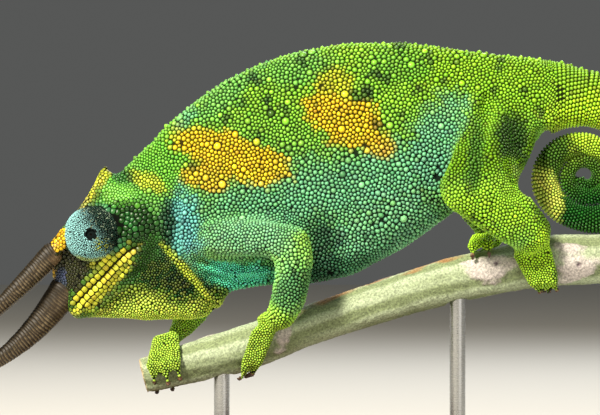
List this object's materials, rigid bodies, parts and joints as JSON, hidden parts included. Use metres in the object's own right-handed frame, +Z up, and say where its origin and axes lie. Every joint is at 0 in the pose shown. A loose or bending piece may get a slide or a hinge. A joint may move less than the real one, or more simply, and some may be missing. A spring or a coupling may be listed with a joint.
{
  "type": "chameleon model",
  "caption": "Life-size model of a horned chameleon gripping a short cut branch, head lowered and tail coiled, held over a flat base by plain rods.",
  "frame": {"origin": "centre of the stand base's underside, on the floor", "axes": "+Z up, -X the way the animal faces, -Y its left side, with its middle plane at y = 0"},
  "size_m": [0.199, 0.084, 0.1185],
  "materials": {
    "skin": "thin scaly reptile skin, dark green between the scales",
    "scales": "small domed horny scales, satin, green with teal, yellow and orange areas",
    "eyelid": "fine granular skin of the eye turret, teal and blackish green",
    "eyeball": "wet dark eyeball seen through the turret's opening",
    "horn": "ringed grey-brown keratin, satin",
    "claw": "dark horn-brown keratin, glossy",
    "bark": "pale ridged bark, mottled green and pinkish grey",
    "base_wood": "dark stained walnut, satin varnish",
    "rod_steel": "brushed steel rod"
  },
  "bodies": {
    "root": {"head": "skin", "jaw": "skin", "eye_left": "eyelid", "eye_right": "eyelid", "horn_nose": "horn", "horn_left": "horn", "horn_right": "horn", "throat": "skin", "neck": "skin", "chest": "skin", "belly": "skin", "tail_1": "skin", "tail_2": "skin", "tail_3": "skin", "tail_4": "skin", "tail_5": "skin", "fore_left_upper": "skin", "fore_left_lower": "skin", "fore_left_foot": "skin", "fore_left_toes_outer": "skin", "fore_left_toes_inner": "skin", "fore_left_claw_1": "claw", "fore_left_claw_2": "claw", "fore_left_claw_3": "claw", "fore_left_claw_4": "claw", "fore_left_claw_5": "claw", "hind_left_upper": "skin", "hind_left_lower": "skin", "hind_left_foot": "skin", "hind_left_toes_outer": "skin", "hind_left_toes_inner": "skin", "hind_left_claw_1": "claw", "hind_left_claw_2": "claw", "hind_left_claw_3": "claw", "hind_left_claw_4": "claw", "hind_left_claw_5": "claw", "fore_right_upper": "skin", "fore_right_lower": "skin", "fore_right_foot": "skin", "fore_right_toes_outer": "skin", "fore_right_toes_inner": "skin", "fore_right_claw_1": "claw", "fore_right_claw_2": "claw", "fore_right_claw_3": "claw", "fore_right_claw_4": "claw", "fore_right_claw_5": "claw", "hind_right_upper": "skin", "hind_right_lower": "skin", "hind_right_foot": "skin", "hind_right_toes_outer": "skin", "hind_right_toes_inner": "skin", "hind_right_claw_1": "claw", "hind_right_claw_2": "claw", "hind_right_claw_3": "claw", "hind_right_claw_4": "claw", "hind_right_claw_5": "claw", "perch": "bark", "stand_rod_front": "rod_steel", "stand_rod_back": "rod_steel", "stand_base": "base_wood"}
  },
  "joints": []
}
